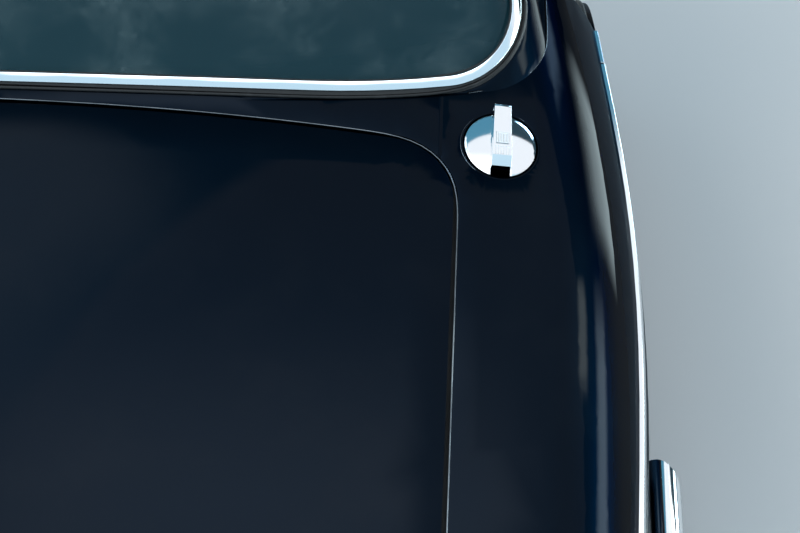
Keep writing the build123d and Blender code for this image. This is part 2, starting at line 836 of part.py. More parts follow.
with BuildPart() as filler_bar_right:
    with BuildSketch(cap_side.offset(-bar_width / 2)):
        with BuildLine():
            Polyline((cap_pivot_y, cap_pivot_z + bar_end_radius), (bar_knee_y, bar_knee_z),
                     (bar_rear, bar_rear_z), (bar_rear, bar_low),
                     (cap_pivot_y - bar_end_radius, bar_low),
                     (cap_pivot_y, cap_pivot_z - bar_end_radius),
                     (cap_pivot_y, cap_pivot_z + bar_end_radius))
        make_face()
        with Locations((cap_pivot_y, cap_pivot_z)):
            Circle(bar_end_radius)
            Circle(cap_pin + pin_play, mode=Mode.SUBTRACT)
    extrude(amount=bar_width)
    with BuildSketch(cap_plane) as taper:
        with BuildLine():
            Polyline((bar_width / 2, bar_rear), (bar_front_width / 2, cap_pivot_y),
                     (bar_front_width / 2, cap_pivot_y + bar_width),
                     (-bar_front_width / 2, cap_pivot_y + bar_width),
                     (-bar_front_width / 2, cap_pivot_y), (-bar_width / 2, bar_rear),
                     (bar_width / 2, bar_rear))
        make_face()
    extrude(amount=bowl_radius, both=True, mode=Mode.INTERSECT)
    slot = lug_width / 2 + lug_play
    with BuildSketch(cap_side.offset(-slot)):
        with Locations((cap_pivot_y - lug_radius - pin_play, cap_pivot_z + lug_radius + lug_play)):
            Rectangle(bowl_radius, bowl_radius, align=(Align.MIN, Align.MAX))
    extrude(amount=2 * slot, mode=Mode.SUBTRACT)
    with BuildSketch(cap_plane.offset(button_top - button_depth)):
        with Locations((0, button_y)):
            Rectangle(button_size + 2 * button_play, button_size + 2 * button_play)
    extrude(amount=bowl_radius, mode=Mode.SUBTRACT)
    with BuildSketch(cap_plane.offset(bar_knee_z - groove_depth)):
        with Locations((0, (pad_y[0] + pad_y[1]) / 2)):
            with GridLocations(groove_pitch, 1, pad_grooves, 1):
                Rectangle(groove_width, pad_y[1] - pad_y[0])
    extrude(amount=bowl_radius, mode=Mode.SUBTRACT)
filler_bar_right.part.label = "filler_bar_right"

with BuildPart() as filler_button_right:
    with BuildSketch(cap_plane.offset(button_top - button_depth)):
        with Locations((0, button_y)):
            Rectangle(button_size, button_size)
    extrude(amount=button_depth)
    with BuildSketch(cap_plane.offset(button_top - groove_depth)):
        with Locations((0, button_y)):
            with GridLocations(groove_pitch, 1, button_grooves, 1):
                Rectangle(groove_width, button_size - 2 * groove_width)
    extrude(amount=groove_depth, mode=Mode.SUBTRACT)
filler_button_right.part.label = "filler_button_right"

with BuildPart() as filler_cap_right:
    with BuildSketch(cap_side):
        with BuildLine():
            Line((0, disc_dome), (0, -disc_thick))
            Polyline((0, -disc_thick), (disc_radius, -disc_thick), (disc_radius, -disc_lip))
            crown = ((disc_dome + disc_lip) ** 2 + disc_radius**2) / (disc_dome + disc_lip) / 2
            RadiusArc((disc_radius, -disc_lip), (0, disc_dome), -crown)
        make_face()
    revolve(axis=cap_axis)
    with BuildSketch(cap_plane.offset(-disc_thick)):
        Circle(plug_radius)
    extrude(amount=-plug_depth)
    with BuildSketch(cap_plane.offset(-bowl_depth)):
        with Locations((0, cap_pivot_y)):
            Rectangle(2 * slot, 2 * bar_end_radius)
        with Locations((0, bar_rear + 2 * button_play)):
            Rectangle(bar_width, notch_length, align=(Align.CENTER, Align.MAX))
    extrude(amount=2 * bowl_depth, mode=Mode.SUBTRACT)
    add(filler_bar_right.part, mode=Mode.SUBTRACT)
filler_cap_right.part.label = "filler_cap_right"

# Bright trim, lamps and bumper
with BuildPart() as side_mouldings:
    add(body_proud)
    add(body_out, mode=Mode.SUBTRACT)
    band = (mould_z - mould_height / 2, mould_z + mould_height / 2)
    with BuildPart(mode=Mode.PRIVATE) as strips:
        add(block((seam_x, far), (mould_rear_y, mould_joint_y), band))
        add(block((seam_x, far), (mould_joint_y + mould_joint, door_moulding[0] - 4), band))
    add(strips.part, mode=Mode.INTERSECT)
    mirror(about=Plane.YZ)
side_mouldings.part.label = "side_mouldings"

with BuildPart() as lamp_bezels:
    add(body_proud)
    add(body_in, mode=Mode.SUBTRACT)
    add(lamp_region(0), mode=Mode.INTERSECT)
    add(lamp_region(-lamp_bezel), mode=Mode.SUBTRACT)
    mirror(about=Plane.YZ)
lamp_bezels.part.label = "lamp_bezels"

with BuildPart() as lamp_lenses:
    add(body_proud)
    add(lower_form(lamp_depth), mode=Mode.SUBTRACT)
    add(lamp_region(-lamp_bezel), mode=Mode.INTERSECT)
    mirror(about=Plane.YZ)
lamp_lenses.part.label = "lamp_lenses"

mid = bumper_half - bumper_depth / 2
mid_corner = bumper_corner - bumper_depth / 2
mid_bow = tail_radius - bumper_depth / 2
mid_centre = bumper_tail_y + tail_radius
bend_x = mid - mid_corner
bend_y = mid_centre - sqrt((mid_bow - mid_corner) ** 2 - bend_x**2)
bend_turn = degrees(atan2(bend_x, mid_centre - bend_y))
with BuildPart() as bumper:
    with BuildLine(Plane.XY.offset(bumper_z + bumper_height / 2)) as path:
        CenterArc((0, mid_centre), mid_bow, -90, bend_turn)
        bend = CenterArc((bend_x, bend_y), mid_corner, bend_turn - 90,
                         90 - bend_turn - bumper_flare)
        reach = bumper_tip_y - (bend @ 1).Y
        tip = Line(bend @ 1, ((bend @ 1).X + reach * tan(radians(bumper_flare)), bumper_tip_y))
        mirror(about=Plane.YZ)
    with BuildSketch(Plane.YZ.offset(0)) as blade:
        with Locations((mid_centre - mid_bow, bumper_z + bumper_height / 2)):
            RectangleRounded(bumper_depth, bumper_height, bumper_edge)
    half_path = path.edges().filter_by(lambda e: e.center().X > 0)
    sweep(path=Wire(half_path))
    mirror(about=Plane.YZ)
    with BuildSketch(Plane.XY) as tips:
        with Locations((bumper_end_x, bumper_tip_y), (-bumper_end_x, bumper_tip_y)):
            Rectangle(2 * tip_reach_x, 2 * tip_reach_y)
        with Locations((bumper_end_x - tip_reach_x, bumper_tip_y - tip_reach_y),
                       (tip_reach_x - bumper_end_x, bumper_tip_y - tip_reach_y)):
            Ellipse(tip_reach_x, tip_reach_y, mode=Mode.SUBTRACT)
    extrude(amount=far, mode=Mode.SUBTRACT)

with BuildPart() as bumper_centre:
    add(bumper.part)
    add(block((-bumper_split, bumper_split), (-far, far), (0, far)), mode=Mode.INTERSECT)
bumper_centre.part.label = "bumper_centre"

with BuildPart() as bumper_corner_right:
    add(bumper.part)
    add(right_of(bumper_split), mode=Mode.INTERSECT)
bumper_corner_right.part.label = "bumper_corner_right"

with BuildPart() as bumper_corner_left:
    mirror(bumper_corner_right.part, about=Plane.YZ)
bumper_corner_left.part.label = "bumper_corner_left"

with BuildPart() as overriders:
    split_y = mid_centre - sqrt(mid_bow**2 - bumper_split**2)
    with BuildSketch(Plane.XY.offset(overrider_z)):
        with Locations((bumper_split, split_y - overrider_proud)):
            RectangleRounded(overrider_width, bumper_depth + overrider_proud, overrider_corner)
    extrude(amount=overrider_height)
    fillet(overriders.faces().filter_by(Axis.Z).edges(), overrider_edge)
    add(bumper.part, mode=Mode.SUBTRACT)
    mirror(about=Plane.YZ)
overriders.part.label = "overriders"

with BuildPart() as bumper_brackets:
    band = (bumper_z + bumper_height / 2 - bracket_height / 2,
            bumper_z + bumper_height / 2 + bracket_height / 2)
    add(block((bracket_x - bracket_width / 2, bracket_x + bracket_width / 2),
              (bumper_tail_y + bumper_depth / 2, tail_y + bracket_length), band))
    add(block((bumper_half - bumper_depth - 2 * bracket_height, bumper_half - bumper_depth / 2),
              (bracket_side_y - bracket_width / 2, bracket_side_y + bracket_width / 2), band))
    add(body_out, mode=Mode.SUBTRACT)
    add(bumper.part, mode=Mode.SUBTRACT)
    mirror(about=Plane.YZ)
bumper_brackets.part.label = "bumper_brackets"

# Left filler cap
with BuildPart() as filler_bowl_left:
    mirror(filler_bowl_right.part, about=Plane.YZ)
filler_bowl_left.part.label = "filler_bowl_left"

with BuildPart() as filler_bar_left:
    mirror(filler_bar_right.part, about=Plane.YZ)
filler_bar_left.part.label = "filler_bar_left"

with BuildPart() as filler_button_left:
    mirror(filler_button_right.part, about=Plane.YZ)
filler_button_left.part.label = "filler_button_left"

with BuildPart() as filler_cap_left:
    mirror(filler_cap_right.part, about=Plane.YZ)
filler_cap_left.part.label = "filler_cap_left"

pieces = [
    wing_right, wing_left, tonneau_panel, tail_panel, roof_and_pillars, rear_window_glass,
    window_trim, window_seal, boot_lid, lid_frame, hinge_arms, lid_latch, number_plate,
    lid_plinth, boot_gutter, boot_seal, hinge_brackets, lid_striker, wheelhouses, boot_floor,
    bulkhead, parcel_shelf, boot_side_trims, chassis_rails, filler_bowl_right,
    filler_bowl_left, filler_bar_right, filler_bar_left, filler_button_right,
    filler_button_left, filler_cap_right, filler_cap_left, side_mouldings, lamp_bezels,
    lamp_lenses, bumper_centre, bumper_corner_right, bumper_corner_left, overriders,
    bumper_brackets,
]
for piece in pieces:
    export_step(piece.part, f"parts/{piece.part.label}.step")
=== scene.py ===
import json
import math

import bmesh
import bpy
from mathutils import Matrix, Vector
from mathutils.bvhtree import BVHTree


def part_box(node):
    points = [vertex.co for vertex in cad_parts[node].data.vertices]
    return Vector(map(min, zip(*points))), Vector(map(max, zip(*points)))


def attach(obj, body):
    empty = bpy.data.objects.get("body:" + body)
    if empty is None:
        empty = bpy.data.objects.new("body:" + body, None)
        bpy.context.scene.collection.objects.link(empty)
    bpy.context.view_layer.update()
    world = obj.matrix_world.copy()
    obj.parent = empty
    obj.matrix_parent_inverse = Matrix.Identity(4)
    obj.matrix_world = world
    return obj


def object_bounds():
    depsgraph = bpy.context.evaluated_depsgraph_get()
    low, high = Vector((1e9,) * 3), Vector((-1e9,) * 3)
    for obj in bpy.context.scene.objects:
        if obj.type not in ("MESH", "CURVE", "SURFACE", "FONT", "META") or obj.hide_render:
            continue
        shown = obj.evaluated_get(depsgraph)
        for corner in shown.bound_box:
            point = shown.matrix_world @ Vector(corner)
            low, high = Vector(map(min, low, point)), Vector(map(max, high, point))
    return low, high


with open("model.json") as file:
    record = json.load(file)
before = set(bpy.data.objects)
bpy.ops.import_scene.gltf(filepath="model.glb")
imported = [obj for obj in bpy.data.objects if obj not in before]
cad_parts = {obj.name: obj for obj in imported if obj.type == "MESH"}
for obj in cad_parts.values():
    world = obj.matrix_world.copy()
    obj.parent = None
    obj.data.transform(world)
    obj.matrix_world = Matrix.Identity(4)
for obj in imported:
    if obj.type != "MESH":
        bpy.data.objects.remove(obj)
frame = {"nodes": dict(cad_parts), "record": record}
cadNodes = frame["nodes"]
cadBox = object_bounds()


class Flow:
    # a socket that takes part in Python sums; values go through Math nodes,
    # vectors through Vector Math and colours through Mix
    def __init__(self, shader, socket):
        self.shader, self.socket = shader, socket

    def join(self, operation, first, second):
        kinds = [value.socket.type for value in (first, second) if isinstance(value, Flow)]
        if "RGBA" in kinds:
            return self.shader.mix(1.0, first, second, operation)
        if "VECTOR" in kinds:
            return self.shader.node("ShaderNodeVectorMath", {"operation": operation}, [first, second])
        return self.shader.node("ShaderNodeMath", {"operation": operation}, [first, second])

    def __add__(self, other):
        return self.join("ADD", self, other)

    def __radd__(self, other):
        return self.join("ADD", other, self)

    def __sub__(self, other):
        return self.join("SUBTRACT", self, other)

    def __rsub__(self, other):
        return self.join("SUBTRACT", other, self)

    def __mul__(self, other):
        return self.join("MULTIPLY", self, other)

    def __rmul__(self, other):
        return self.join("MULTIPLY", other, self)

    def __truediv__(self, other):
        return self.join("DIVIDE", self, other)

    def __rtruediv__(self, other):
        return self.join("DIVIDE", other, self)

    def __abs__(self):
        return self.shader.node("ShaderNodeMath", {"operation": "ABSOLUTE"}, [self])


class Shader:
    # a material's or the world's node tree
    def __init__(self, tree):
        self.tree = tree
        tree.nodes.clear()

    def node(self, kind, settings=None, inputs=None, output=0):
        made = self.tree.nodes.new(kind)
        for name, value in (settings or {}).items():
            if name == "stops":
                ramp = made.color_ramp
                while len(ramp.elements) < len(value):
                    ramp.elements.new(0.5)
                for element, (place, colour) in zip(ramp.elements, value):
                    element.position, element.color = place, (*colour, 1)
            else:
                setattr(made, name, value)
        pairs = inputs.items() if isinstance(inputs, dict) else enumerate(inputs or [])
        for name, value in pairs:
            if isinstance(value, Flow):
                self.tree.links.new(value.socket, made.inputs[name])
            elif made.inputs[name].type == "RGBA" and len(value) == 3:
                made.inputs[name].default_value = (*value, 1)
            else:
                made.inputs[name].default_value = value
        return Flow(self, made.outputs[output]) if len(made.outputs) else made

    def mix(self, factor, first, second, blend="MIX"):
        return self.node("ShaderNodeMix", {"data_type": "RGBA", "blend_type": blend},
                         {0: factor, 6: first, 7: second}, output=2)

    def noise(self, scale, detail=3.0, rough=0.55, at=None, warp=0.0):
        return self.node("ShaderNodeTexNoise", None,
                         {"Vector": at or self.place(), "Scale": scale, "Detail": detail,
                          "Roughness": rough, "Distortion": warp})

    def place(self):
        return self.node("ShaderNodeTexCoord", None, None, output="Object")

    def axis(self, letter, at=None):
        return self.node("ShaderNodeSeparateXYZ", None, [at or self.place()], output=letter)

    def span(self, value, low, high, bottom=0.0, top=1.0):
        return self.node("ShaderNodeMapRange", {"interpolation_type": "SMOOTHSTEP"},
                         [value, low, high, bottom, top])

    def bump(self, height, distance, strength=1.0):
        return self.node("ShaderNodeBump", None,
                         {"Height": height, "Distance": distance, "Strength": strength})

    def wave(self, value, pitch):
        return self.node("ShaderNodeMath", {"operation": "SINE"}, [value * (2 * math.pi / pitch)])

    def clamp(self, value):
        return self.node("ShaderNodeClamp", None, [value, 0.0, 1.0])


def newFinish(name, **sockets):
    finish = bpy.data.materials.new(name)
    finish.use_nodes = True
    shader = Shader(finish.node_tree)
    surface = shader.node("ShaderNodeBsdfPrincipled", None, sockets)
    shader.node("ShaderNodeOutputMaterial", None, {"Surface": surface})
    return finish, shader, surface.socket.node


def feed(shader, surface, **flows):
    names = {"colour": "Base Color", "roughness": "Roughness", "alpha": "Alpha", "normal": "Normal"}
    for name, flow in flows.items():
        shader.tree.links.new(flow.socket, surface.inputs[names[name]])


paint = {
    "colour": (0.0011, 0.0045, 0.0098),
    "edge": (0.20, 0.30, 0.36),     # how far it brightens at a glancing look
    "coatWeight": 0.10,
    "peelSize": 420.0,      # bumps to the metre
    "peelDepth": 0.000004,
    "dust": 0.006,
}


def makeBodyPaint():
    finish, shader, surface = newFinish("bodyPaint", **{
        "Base Color": paint["colour"], "Metallic": 1.0, "Roughness": 0.4, "Specular Tint": paint["edge"],
        "Coat Weight": paint["coatWeight"], "Coat Roughness": 0.02, "Coat IOR": 1.5})
    peel = shader.noise(paint["peelSize"], 2.0)
    film = shader.noise(9.0, 5.0, 0.62)
    specks = shader.span(shader.noise(1400.0, 1.0), 0.72, 0.8)
    dusty = shader.span(film, 0.45, 0.75) * 0.6 + specks * 0.4
    feed(shader, surface,
         colour=shader.mix(dusty * paint["dust"], paint["colour"], (0.30, 0.32, 0.33)),
         roughness=0.36 + film * 0.10,
         normal=shader.bump(peel, paint["peelDepth"]))
    return finish


innerPaint = {"colour": (0.018, 0.020, 0.022), "grain": 300.0}        # grains to the metre


def makeInnerPaint():
    finish, shader, surface = newFinish("innerPaint", **{
        "Base Color": innerPaint["colour"], "Roughness": 0.5, "Specular IOR Level": 0.4})
    coarse = shader.noise(innerPaint["grain"], 3.0)
    grime = shader.noise(7.0, 6.0, 0.65)
    dirt = shader.span(grime, 0.5, 0.78)
    feed(shader, surface,
         colour=shader.mix(dirt * 0.5, innerPaint["colour"], (0.06, 0.055, 0.048)),
         roughness=0.42 + grime * 0.3,
         normal=shader.bump(coarse, 0.0006, 0.5))
    return finish


brightTrim = {"colour": (0.90, 0.93, 0.95), "pits": 900.0}        # pits to the metre


def makeBrightTrim():
    finish, shader, surface = newFinish("brightTrim", **{
        "Base Color": brightTrim["colour"], "Metallic": 1.0, "Roughness": 0.06, "Specular IOR Level": 0.5})
    haze = shader.noise(26.0, 4.0, 0.6)
    pits = shader.span(shader.noise(brightTrim["pits"], 2.0), 0.68, 0.75)
    feed(shader, surface,
         colour=shader.mix(pits * 0.35, brightTrim["colour"], (0.34, 0.36, 0.38)),
         roughness=0.035 + haze * 0.06 + pits * 0.2,
         normal=shader.bump(shader.noise(60.0, 2.0), 0.00003, 0.5))
    return finish


rubber = {"colour": (0.016, 0.017, 0.018)}


def makeRubber():
    finish, shader, surface = newFinish("sealRubber", **{
        "Base Color": rubber["colour"], "Roughness": 0.6, "Specular IOR Level": 0.35})
    bloom = shader.noise(40.0, 5.0, 0.6)
    feed(shader, surface,
         colour=shader.mix(shader.span(bloom, 0.5, 0.8) * 0.35, rubber["colour"], (0.10, 0.105, 0.11)),
         roughness=0.48 + bloom * 0.25,
         normal=shader.bump(shader.noise(1500.0, 2.0), 0.00008, 0.6))
    return finish


glass = {"colour": (0.010, 0.042, 0.056), "alpha": 0.72, "shine": 0.22}


def makeGlass():
    finish, shader, surface = newFinish("tintedGlass", **{
        "Base Color": glass["colour"], "Roughness": 0.03, "IOR": 1.52, "Alpha": glass["alpha"],
        "Specular IOR Level": glass["shine"]})
    stain = shader.noise(11.0, 6.0, 0.6, warp=0.4)
    spots = shader.span(shader.noise(70.0, 3.0, 0.5), 0.55, 0.75)
    haze = shader.span(stain, 0.42, 0.78)
    film = shader.clamp(haze * 0.65 + spots * haze * 0.6)
    feed(shader, surface,
         colour=shader.mix(film * 0.32, glass["colour"], (0.20, 0.27, 0.28)),
         roughness=0.02 + film * 0.10,
         alpha=glass["alpha"] + film * 0.12)
    return finish


carpet = {"colour": (0.022, 0.022, 0.024)}


def makeCarpet():
    finish, shader, surface = newFinish("bootCarpet", **{
        "Base Color": carpet["colour"], "Roughness": 0.95, "Specular IOR Level": 0.15,
        "Sheen Weight": 0.4, "Sheen Roughness": 0.5})
    fibre = shader.noise(700.0, 4.0, 0.7, warp=0.8)
    tread = shader.noise(6.0, 4.0)
    feed(shader, surface,
         colour=shader.mix(shader.span(fibre, 0.35, 0.7), carpet["colour"], (0.065, 0.064, 0.062)),
         roughness=0.85 + tread * 0.12,
         normal=shader.bump(fibre, 0.0012, 0.9))
    return finish


shelfCloth = {"colour": (0.085, 0.090, 0.092), "thread": 0.0016}


def makeShelfCloth():
    finish, shader, surface = newFinish("shelfCloth", **{
        "Base Color": shelfCloth["colour"], "Roughness": 0.9, "Specular IOR Level": 0.15,
        "Sheen Weight": 0.3, "Sheen Roughness": 0.5})
    across = shader.wave(shader.axis("X"), shelfCloth["thread"])
    along = shader.wave(shader.axis("Y"), shelfCloth["thread"])
    weave = across * along * 0.5 + 0.5
    faded = shader.noise(5.0, 3.0)
    feed(shader, surface,
         colour=shader.mix(weave * 0.6, shelfCloth["colour"], (0.14, 0.145, 0.145)),
         roughness=0.82 + faded * 0.12,
         normal=shader.bump(weave, 0.0004, 0.7))
    return finish


lamp = {
    "red": (0.30, 0.006, 0.008), "amber": (0.55, 0.16, 0.01), "clear": (0.42, 0.42, 0.44),
    "flutePitch": 0.006,
    "amberZ": 0.478, "clearZ": 0.382, "blur": 0.0006,       # heights where the colours change
}


def makeLampLens():
    finish, shader, surface = newFinish("lampLens", **{
        "Base Color": lamp["red"], "Roughness": 0.12, "IOR": 1.49,
        "Coat Weight": 0.8, "Coat Roughness": 0.02})
    height = shader.axis("Z")
    flutes = shader.wave(height, lamp["flutePitch"]) * 0.5 + 0.5
    pips = shader.wave(shader.axis("X"), lamp["flutePitch"]) * flutes
    upper = shader.span(height, lamp["amberZ"] - lamp["blur"], lamp["amberZ"] + lamp["blur"])
    lower = shader.span(height, lamp["clearZ"] + lamp["blur"], lamp["clearZ"] - lamp["blur"])
    glow = shader.noise(30.0, 3.0)
    colour = shader.mix(lower, shader.mix(upper, lamp["red"], lamp["amber"]), lamp["clear"])
    feed(shader, surface,
         colour=shader.mix(flutes * 0.45, colour, (0.02, 0.004, 0.004)),
         roughness=0.08 + glow * 0.06,
         normal=shader.bump(flutes + pips * 0.4, 0.0009, 0.8))
    return finish


plate = {"face": (0.62, 0.63, 0.60), "rim": (0.03, 0.03, 0.032), "rimWidth": 0.008, "blur": 0.0006}


def makePlate():
    low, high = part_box("number_plate")
    finish, shader, surface = newFinish("plainPlate", **{
        "Base Color": plate["face"], "Roughness": 0.35, "Coat Weight": 0.4, "Coat Roughness": 0.1})
    across = abs(shader.axis("X")) - (high.x - plate["rimWidth"])
    up = abs(shader.axis("Z") - (low.z + high.z) / 2) - ((high.z - low.z) / 2 - plate["rimWidth"])
    border = shader.clamp(shader.span(across, 0.0, plate["blur"]) + shader.span(up, 0.0, plate["blur"]))
    grime = shader.noise(14.0, 5.0, 0.65)
    feed(shader, surface,
         colour=shader.mix(border, shader.mix(shader.span(grime, 0.5, 0.8) * 0.3, plate["face"],
                                              (0.40, 0.39, 0.35)), plate["rim"]),
         roughness=0.28 + grime * 0.2,
         normal=shader.bump(shader.noise(240.0, 2.0), 0.00008, 0.5))
    return finish


platedSteel = {"colour": (0.56, 0.53, 0.46)}


def makePlatedSteel():
    finish, shader, surface = newFinish("platedSteel", **{
        "Base Color": platedSteel["colour"], "Metallic": 1.0, "Roughness": 0.35})
    spangle = shader.noise(120.0, 3.0, 0.6)
    feed(shader, surface,
         colour=shader.mix(shader.span(spangle, 0.4, 0.7), platedSteel["colour"], (0.40, 0.36, 0.28)),
         roughness=0.28 + spangle * 0.22,
         normal=shader.bump(spangle, 0.00015, 0.5))
    return finish


# painted highlight colours for the beads along panel edges
highlightEdge = {"colour": (0.17, 0.185, 0.20), "dimHighlight": (0.07, 0.08, 0.09)}


def makeHighlightEdge():
    # where a panel's turned edge is polished bare of its top coat's gloss
    # painted highlight: a lighter metallic grey on a panel's turned edge stands in for the light the edge
    # catches, dimmer here and there at random
    finish, shader, surface = newFinish("highlightEdge", **{
        "Base Color": highlightEdge["colour"], "Metallic": 1.0, "Roughness": 0.2})
    unevenHighlight = shader.noise(14.0, 4.0, 0.6)
    feed(shader, surface,
         colour=shader.mix(shader.span(unevenHighlight, 0.4, 0.7), highlightEdge["colour"], highlightEdge["dimHighlight"]),
         roughness=0.16 + unevenHighlight * 0.12)
    return finish


shadow = {"colour": (0.0015, 0.0018, 0.0022)}


def makeShadowLine():
    # the dark bottom of a groove
    finish, shader, surface = newFinish("shadowLine", **{
        "Base Color": shadow["colour"], "Roughness": 0.9, "Specular IOR Level": 0.05})
    grit = shader.span(shader.noise(90.0), 0.5, 0.8) * 0.3
    feed(shader, surface,
         colour=shader.mix(grit, shadow["colour"], (0.012, 0.012, 0.012)),
         roughness=0.85 + shader.noise(30.0) * 0.1)
    return finish


finishes = {
    "body_paint": makeBodyPaint(),
    "inner_paint": makeInnerPaint(),
    "window_glass": makeGlass(),
    "bright_trim": makeBrightTrim(),
    "rubber_seal": makeRubber(),
    "boot_lining": makeCarpet(),
    "shelf_cloth": makeShelfCloth(),
    "lamp_lens": makeLampLens(),
    "plate_blank": makePlate(),
    "plated_steel": makePlatedSteel(),
}
print("finishes:", len(finishes))

slotOf = {part["node"]: part["material_slot"] for part in frame["record"]["subparts"]}
slotOf.update(filler_bowl_right="body_paint", filler_bowl_left="body_paint")    # sprayed with the wings
for name, node in cadNodes.items():
    node.data.materials.clear()
    node.data.materials.append(finishes[slotOf[name]])
print("finishes laid on the nodes")

bothSides = ((1, "Right"), (-1, "Left"))
down = Vector((0, 0, -1))


def surfaceOf(*names):
    # the CAD nodes' faces as one tree, for finding what lies under a point
    corners, faces = [], []
    for name in names:
        mesh = cadNodes[name].data
        first = len(corners)
        corners += [corner.co.copy() for corner in mesh.vertices]
        faces += [tuple(first + i for i in face.vertices) for face in mesh.polygons]
    return BVHTree.FromPolygons(corners, faces)


def landOn(surface, start, toward):
    place, normal, _, _ = surface.ray_cast(Vector(start), Vector(toward).normalized())
    if place is None:
        return None
    return place, normal if normal.dot(Vector(toward)) < 0 else -normal


def halved(hit, found, miss, rounds):
    # closes in on the edge between a reach that hits and one that misses
    for _ in range(rounds):
        middle = (found + miss) / 2
        found, miss = (middle, miss) if hit(middle) else (found, middle)
    return found


def spotsOn(surface, starts, toward):
    spots = (landOn(surface, start, toward) for start in starts)
    return [spot for spot in spots if spot]


def keepMesh(name, bm, finish, body):
    mesh = bpy.data.meshes.new(name)
    bm.to_mesh(mesh)
    bm.free()
    mesh.materials.append(finish)
    piece = bpy.data.objects.new(name, mesh)
    bpy.context.scene.collection.objects.link(piece)
    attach(piece, body)
    return piece


def turned(name, profile, spots, finish, body, sides=24):
    # small turned pieces of one profile of (radius, height) from the rim in, one at each (place, normal)
    bm = bmesh.new()
    for place, normal in spots:
        turn = Vector((0, 0, 1)).rotation_difference(normal).to_matrix()
        angles = [2 * math.pi * k / sides for k in range(sides)]
        rings = [[bm.verts.new(place + turn @ Vector((radius * math.cos(a), radius * math.sin(a), height)))
                  for a in angles] for radius, height in profile]
        for outer, inner in zip(rings, rings[1:]):
            for k in range(sides):
                face = bm.faces.new((outer[k], outer[(k + 1) % sides], inner[(k + 1) % sides], inner[k]))
                face.smooth = sides > 8
        bm.faces.new(rings[-1])
        bm.faces.new(rings[0][::-1])
    return keepMesh(name, bm, finish, body)


def tubes(name, lines, radius, finish, body, closed=False, sides=8):
    # round beads along lines of points
    bm = bmesh.new()
    for line in lines:
        count = len(line)
        rings = []
        for k, point in enumerate(line):
            before = line[(k - 1) % count] if closed or k else point
            after = line[(k + 1) % count] if closed or k < count - 1 else point
            ahead = (after - before).normalized()
            side = ahead.cross(Vector((0.13, 0.21, 1.0))).normalized()
            up = side.cross(ahead)
            rings.append([bm.verts.new(point + radius * (side * math.cos(a) + up * math.sin(a)))
                          for a in (2 * math.pi * j / sides for j in range(sides))])
        pairs = list(zip(rings, rings[1:])) + ([(rings[-1], rings[0])] if closed else [])
        for first, second in pairs:
            for j in range(sides):
                face = bm.faces.new((first[j], first[(j + 1) % sides], second[(j + 1) % sides], second[j]))
                face.smooth = True
        if not closed:
            bm.faces.new(rings[0][::-1])
            bm.faces.new(rings[-1])
    return keepMesh(name, bm, finish, body)


def evened(line, closed=False, rounds=3):
    # takes the small steps of a probed line away
    for _ in range(rounds):
        count = len(line)
        line = [point if not closed and k in (0, count - 1)
                else point * 0.5 + (line[(k - 1) % count] + line[(k + 1) % count]) * 0.25
                for k, point in enumerate(line)]
    return line


def splitRuns(points, longest, fewest):
    # parts a line of points where neighbours lie too far from each other, and drops the short ends
    runs = [[]]
    for point in points:
        if runs[-1] and (point - runs[-1][-1]).length > longest:
            runs.append([])
        runs[-1].append(point)
    return [run for run in runs if len(run) >= fewest]


def mirrored(line):
    return [Vector((-point.x, point.y, point.z)) for point in line]


edgeRoll = {
    "body_paint": 0.0011,
    "bright_trim": 0.0005,
    "rubber_seal": 0.0008,
    "sharpest": 34,      # degrees between faces from which an edge is rolled
    "segments": 3, "weld": 0.00002,
}


def rollEdges():
    # pressed panels and bright work have no knife edges
    for name, node in cadNodes.items():
        width = edgeRoll.get(slotOf[name])
        if not width:
            continue
        weld = node.modifiers.new("joinedFaces", "WELD")
        weld.merge_threshold = edgeRoll["weld"]
        roll = node.modifiers.new("edgeRoll", "BEVEL")
        roll.width, roll.segments, roll.limit_method = width, edgeRoll["segments"], "ANGLE"
        roll.angle_limit = math.radians(edgeRoll["sharpest"])
        roll.harden_normals = True
        roll.miter_outer = "MITER_ARC"


rollEdges()
print("edges rolled")


rearWindow = {
    "lipRadius": 0.0019, "lipInset": 0.0022,        # the seal's outer bead
    "grooveRadius": 0.0009, "grooveInset": 0.0052,
    "glassLipRadius": 0.0011,
    "probes": 360, "nearest": 0.1, "step": 0.005, "steps": 171, "halvings": 9,
    "above": 0.4,
}


def windowAxes():
    # the window's middle, its slope and the way it faces
    low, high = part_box("window_trim")
    slope = Vector((0, high.y - low.y, high.z - low.z)).normalized()
    return (low + high) / 2, slope, Vector((1, 0, 0)).cross(slope)


def windowRim(surface, inset, inner=False):
    # points round the window on a surface, inset from its outer or its inner outline
    centre, slope, outward = windowAxes()
    reaches = [rearWindow["nearest"] + rearWindow["step"] * j for j in range(rearWindow["steps"])]
    if not inner:
        reaches.reverse()
    line = []
    for k in range(rearWindow["probes"]):
        angle = 2 * math.pi * k / rearWindow["probes"]
        ray = Vector((math.cos(angle), 0, 0)) + slope * math.sin(angle)

        def hit(reach):
            return landOn(surface, centre + ray * reach + outward * rearWindow["above"], -outward)

        first = next((j for j, reach in enumerate(reaches) if hit(reach)), None)
        if not first:
            continue
        found = halved(hit, reaches[first], reaches[first - 1], rearWindow["halvings"])
        spot = hit(found + (inset if inner else -inset))
        if spot:
            line.append(spot[0])
    return evened(line, closed=True)


def makeWindowRubber():
    seal = surfaceOf("window_seal")
    black = finishes["rubber_seal"]
    lip = windowRim(seal, rearWindow["lipInset"])
    groove = windowRim(seal, rearWindow["grooveInset"])
    tubes("sealLip", [lip], rearWindow["lipRadius"], black, "rear_body", closed=True)
    tubes("sealGroove", [groove], rearWindow["grooveRadius"], shadowFinish, "rear_body", closed=True)
    inner = windowRim(surfaceOf("window_trim"), 0.0, inner=True)
    tubes("glassLip", [inner], rearWindow["glassLipRadius"], black, "rear_body", closed=True)
    return lip


cowlJoint = {
    "radius": 0.0011, "proud": 0.0005, "edge": 0.0005,
    "inboard": 0.42, "ahead": 0.15,         # it is looked for beside the seal's outer, lower parts
    "reach": 0.16, "step": 0.0008, "above": 0.2,
    "longest": 0.045, "fewest": 6, "rounds": 5,
}


